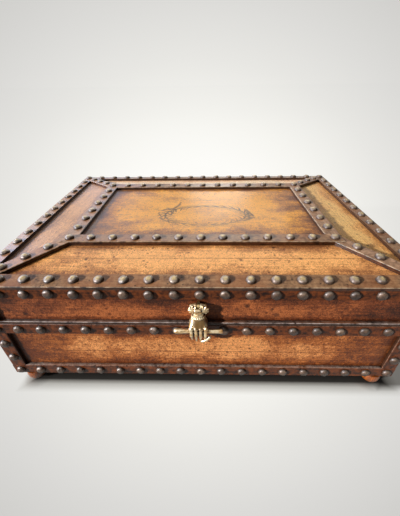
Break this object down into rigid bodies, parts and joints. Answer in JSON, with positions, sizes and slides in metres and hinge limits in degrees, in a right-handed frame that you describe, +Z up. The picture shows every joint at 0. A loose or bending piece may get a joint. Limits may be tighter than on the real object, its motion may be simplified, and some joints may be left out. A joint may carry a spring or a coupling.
{
  "type": "treasure chest",
  "caption": "Low wooden treasure chest with a hip-roofed lid, nailed battens, turned feet, butt hinges and a hand-shaped clasp.",
  "frame": {"origin": "middle of the object's footprint, on the surface that the feet stand on", "axes": "+X to the right along the front, -Y to the front with the clasp, +Z up"},
  "size_m": [0.483, 0.3624, 0.1766],
  "materials": {
    "board_wood": "satin",
    "batten_wood": "satin",
    "foot_wood": "gloss",
    "nail_metal": "aged",
    "hinge_brass": "aged",
    "clasp_brass": "polished"
  },
  "bodies": {
    "base": {"base_front_wall": "board_wood", "base_right_wall": "board_wood", "base_back_wall": "board_wood", "base_left_wall": "board_wood", "base_bottom": "board_wood", "base_front_top_strip": "batten_wood", "base_right_top_strip": "batten_wood", "base_back_top_strip": "batten_wood", "base_left_top_strip": "batten_wood", "base_front_foot_strip": "batten_wood", "base_right_foot_strip": "batten_wood", "base_back_foot_strip": "batten_wood", "base_left_foot_strip": "batten_wood", "base_corner_strips": "batten_wood", "foot_front_right": "foot_wood", "foot_back_right": "foot_wood", "foot_back_left": "foot_wood", "foot_front_left": "foot_wood", "base_nails": "nail_metal", "hinge_base_leaves": "hinge_brass", "keeper": "clasp_brass"},
    "lid": {"lid_front_wall": "board_wood", "lid_right_wall": "board_wood", "lid_back_wall": "board_wood", "lid_left_wall": "board_wood", "lid_front_slope": "board_wood", "lid_right_slope": "board_wood", "lid_back_slope": "board_wood", "lid_left_slope": "board_wood", "lid_top_panel": "board_wood", "lid_front_edge_strip": "batten_wood", "lid_right_edge_strip": "batten_wood", "lid_back_edge_strip": "batten_wood", "lid_left_edge_strip": "batten_wood", "lid_front_band": "batten_wood", "lid_right_band": "batten_wood", "lid_back_band": "batten_wood", "lid_left_band": "batten_wood", "lid_front_bead": "batten_wood", "lid_right_bead": "batten_wood", "lid_back_bead": "batten_wood", "lid_left_bead": "batten_wood", "lid_corner_strips": "batten_wood", "lid_front_right_hip": "batten_wood", "lid_back_right_hip": "batten_wood", "lid_back_left_hip": "batten_wood", "lid_front_left_hip": "batten_wood", "lid_front_frame_strip": "batten_wood", "lid_right_frame_strip": "batten_wood", "lid_back_frame_strip": "batten_wood", "lid_left_frame_strip": "batten_wood", "lid_nails": "nail_metal", "hinge_lid_leaves": "hinge_brass", "hinge_pins": "hinge_brass", "clasp_plate": "clasp_brass", "clasp_hinge_pin": "clasp_brass"},
    "clasp": {"clasp_hand": "clasp_brass"},
    "closure": {"closure_pin": "clasp_brass"}
  },
  "joints": [
    {"name": "lid_hinge", "type": "hinge", "parent": "base", "child": "lid", "pos_m": [0, 0.1784, 0.10875], "axis": [-1, 0, 0], "range_deg": [0, 95]},
    {"name": "clasp_hinge", "type": "hinge", "parent": "lid", "child": "clasp", "pos_m": [-0.0016, -0.1687, 0.138], "axis": [-1, 0, 0], "range_deg": [0, 100]},
    {"name": "closure_slide", "type": "slide", "parent": "clasp", "child": "closure", "axis": [-1, 0, 0], "range_m": [0, 0.03]}
  ]
}
